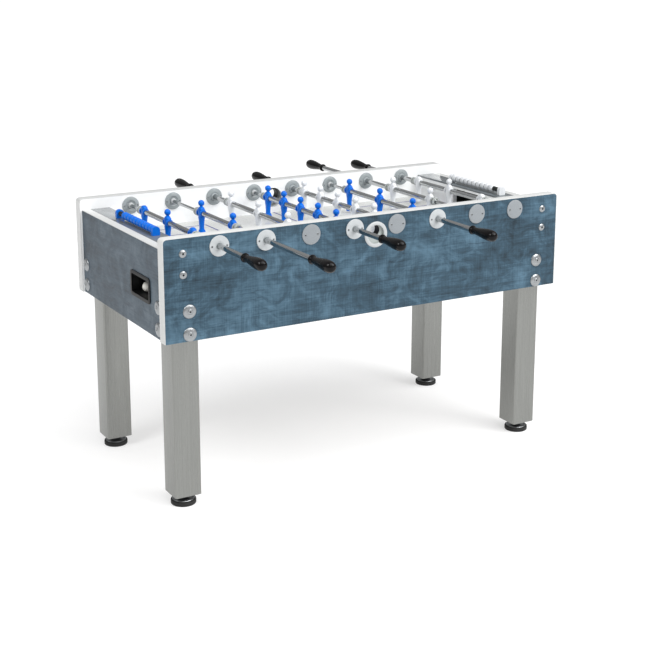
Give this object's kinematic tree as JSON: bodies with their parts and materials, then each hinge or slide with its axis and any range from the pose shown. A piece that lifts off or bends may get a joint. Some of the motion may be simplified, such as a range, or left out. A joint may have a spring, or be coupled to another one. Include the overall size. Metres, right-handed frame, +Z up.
{
  "type": "foosball table",
  "caption": "Foosball table: laminated cabinet on four square steel legs, with telescopic player rods, ball entries, ball trays and abacus scorers.",
  "frame": {"origin": "on the floor under the middle of the table", "axes": "+X along the table to the right-hand goal, +Y away from the near side, where the blue team stands, +Z up"},
  "size_m": [1.5, 1.592, 0.896],
  "materials": {
    "laminate": "satin wood-decor laminate",
    "playfield": "satin laminate",
    "board": "white faced board",
    "grey_plate": "gloss",
    "black_plastic": "fine matte",
    "blue_plastic": "satin gloss",
    "white_plastic": "satin gloss",
    "flange_plastic": "satin",
    "grip_plastic": "gloss",
    "chrome": "polished",
    "leg_steel": "brushed",
    "rubber": "matte"
  },
  "bodies": {
    "table": {"near_side_wall": "laminate", "far_side_wall": "laminate", "playfield": "playfield", "field_beam": "board", "bottom_board": "board", "left_end_panel": "laminate", "left_goal_wall": "board", "left_top_plate": "grey_plate", "left_ball_tray": "black_plastic", "left_scorer_rail": "blue_plastic", "right_end_panel": "laminate", "right_goal_wall": "board", "right_top_plate": "grey_plate", "right_ball_tray": "black_plastic", "right_scorer_rail": "white_plastic", "near_ball_entry": "white_plastic", "far_ball_entry": "white_plastic", "near_left_leg": "leg_steel", "far_left_leg": "leg_steel", "near_right_leg": "leg_steel", "far_right_leg": "leg_steel", "bearing_1": "flange_plastic", "bearing_2": "flange_plastic", "bearing_3": "flange_plastic", "bearing_4": "flange_plastic", "bearing_5": "flange_plastic", "bearing_6": "flange_plastic", "bearing_7": "flange_plastic", "bearing_8": "flange_plastic"},
    "left_score_beads": {"left_score_beads": "blue_plastic"},
    "right_score_beads": {"right_score_beads": "white_plastic"},
    "near_left_foot": {"near_left_foot": "rubber"},
    "far_left_foot": {"far_left_foot": "rubber"},
    "near_right_foot": {"near_right_foot": "rubber"},
    "far_right_foot": {"far_right_foot": "rubber"},
    "inner_rod_1": {"inner_rod_1": "chrome"},
    "player_rod_1": {"player_rod_1": "blue_plastic", "handle_1": "grip_plastic"},
    "inner_rod_2": {"inner_rod_2": "chrome"},
    "player_rod_2": {"player_rod_2": "blue_plastic", "handle_2": "grip_plastic"},
    "inner_rod_3": {"inner_rod_3": "chrome"},
    "player_rod_3": {"player_rod_3": "white_plastic", "handle_3": "grip_plastic"},
    "inner_rod_4": {"inner_rod_4": "chrome"},
    "player_rod_4": {"player_rod_4": "blue_plastic", "handle_4": "grip_plastic"},
    "inner_rod_5": {"inner_rod_5": "chrome"},
    "player_rod_5": {"player_rod_5": "white_plastic", "handle_5": "grip_plastic"},
    "inner_rod_6": {"inner_rod_6": "chrome"},
    "player_rod_6": {"player_rod_6": "blue_plastic", "handle_6": "grip_plastic"},
    "inner_rod_7": {"inner_rod_7": "chrome"},
    "player_rod_7": {"player_rod_7": "white_plastic", "handle_7": "grip_plastic"},
    "inner_rod_8": {"inner_rod_8": "chrome"},
    "player_rod_8": {"player_rod_8": "white_plastic", "handle_8": "grip_plastic"},
    "ball": {"ball": "white_plastic"}
  },
  "joints": [
    {"name": "rod_1_spin", "type": "hinge", "parent": "table", "child": "inner_rod_1", "pos_m": [-0.5635, 0, 0.851], "axis": [0, 1, 0], "continuous": true},
    {"name": "rod_1_slide", "type": "slide", "parent": "inner_rod_1", "child": "player_rod_1", "axis": [0, 1, 0], "range_m": [-0.102, 0.074]},
    {"name": "rod_2_spin", "type": "hinge", "parent": "table", "child": "inner_rod_2", "pos_m": [-0.4025, 0, 0.851], "axis": [0, 1, 0], "continuous": true},
    {"name": "rod_2_slide", "type": "slide", "parent": "inner_rod_2", "child": "player_rod_2", "axis": [0, 1, 0], "range_m": [-0.143, 0.191]},
    {"name": "rod_3_spin", "type": "hinge", "parent": "table", "child": "inner_rod_3", "pos_m": [-0.2415, 0, 0.851], "axis": [0, 1, 0], "continuous": true},
    {"name": "rod_3_slide", "type": "slide", "parent": "inner_rod_3", "child": "player_rod_3", "axis": [0, 1, 0], "range_m": [-0.065, 0.091]},
    {"name": "rod_4_spin", "type": "hinge", "parent": "table", "child": "inner_rod_4", "pos_m": [-0.0805, 0, 0.851], "axis": [0, 1, 0], "continuous": true},
    {"name": "rod_4_slide", "type": "slide", "parent": "inner_rod_4", "child": "player_rod_4", "axis": [0, 1, 0], "range_m": [-0.029, 0.063]},
    {"name": "rod_5_spin", "type": "hinge", "parent": "table", "child": "inner_rod_5", "pos_m": [0.0805, 0, 0.851], "axis": [0, 1, 0], "continuous": true},
    {"name": "rod_5_slide", "type": "slide", "parent": "inner_rod_5", "child": "player_rod_5", "axis": [0, 1, 0], "range_m": [-0.051, 0.041]},
    {"name": "rod_6_spin", "type": "hinge", "parent": "table", "child": "inner_rod_6", "pos_m": [0.2415, 0, 0.851], "axis": [0, 1, 0], "continuous": true},
    {"name": "rod_6_slide", "type": "slide", "parent": "inner_rod_6", "child": "player_rod_6", "axis": [0, 1, 0], "range_m": [-0.06, 0.096]},
    {"name": "rod_7_spin", "type": "hinge", "parent": "table", "child": "inner_rod_7", "pos_m": [0.4025, 0, 0.851], "axis": [0, 1, 0], "continuous": true},
    {"name": "rod_7_slide", "type": "slide", "parent": "inner_rod_7", "child": "player_rod_7", "axis": [0, 1, 0], "range_m": [-0.191, 0.143]},
    {"name": "rod_8_spin", "type": "hinge", "parent": "table", "child": "inner_rod_8", "pos_m": [0.5635, 0, 0.851], "axis": [0, 1, 0], "continuous": true},
    {"name": "rod_8_slide", "type": "slide", "parent": "inner_rod_8", "child": "player_rod_8", "axis": [0, 1, 0], "range_m": [-0.102, 0.074]},
    {"name": "left_beads_slide", "type": "slide", "parent": "table", "child": "left_score_beads", "axis": [0, 1, 0], "range_m": [0, 0.034]},
    {"name": "right_beads_slide", "type": "slide", "parent": "table", "child": "right_score_beads", "axis": [0, -1, 0], "range_m": [0, 0.034]},
    {"name": "near_left_foot_level", "type": "slide", "parent": "table", "child": "near_left_foot", "axis": [0, 0, -1], "range_m": [0, 0.012]},
    {"name": "far_left_foot_level", "type": "slide", "parent": "table", "child": "far_left_foot", "axis": [0, 0, -1], "range_m": [0, 0.012]},
    {"name": "near_right_foot_level", "type": "slide", "parent": "table", "child": "near_right_foot", "axis": [0, 0, -1], "range_m": [0, 0.012]},
    {"name": "far_right_foot_level", "type": "slide", "parent": "table", "child": "far_right_foot", "axis": [0, 0, -1], "range_m": [0, 0.012]},
    {"name": "ball_out", "type": "slide", "parent": "table", "child": "ball", "axis": [-1, 0, 0], "range_m": [0, 0.09]}
  ]
}
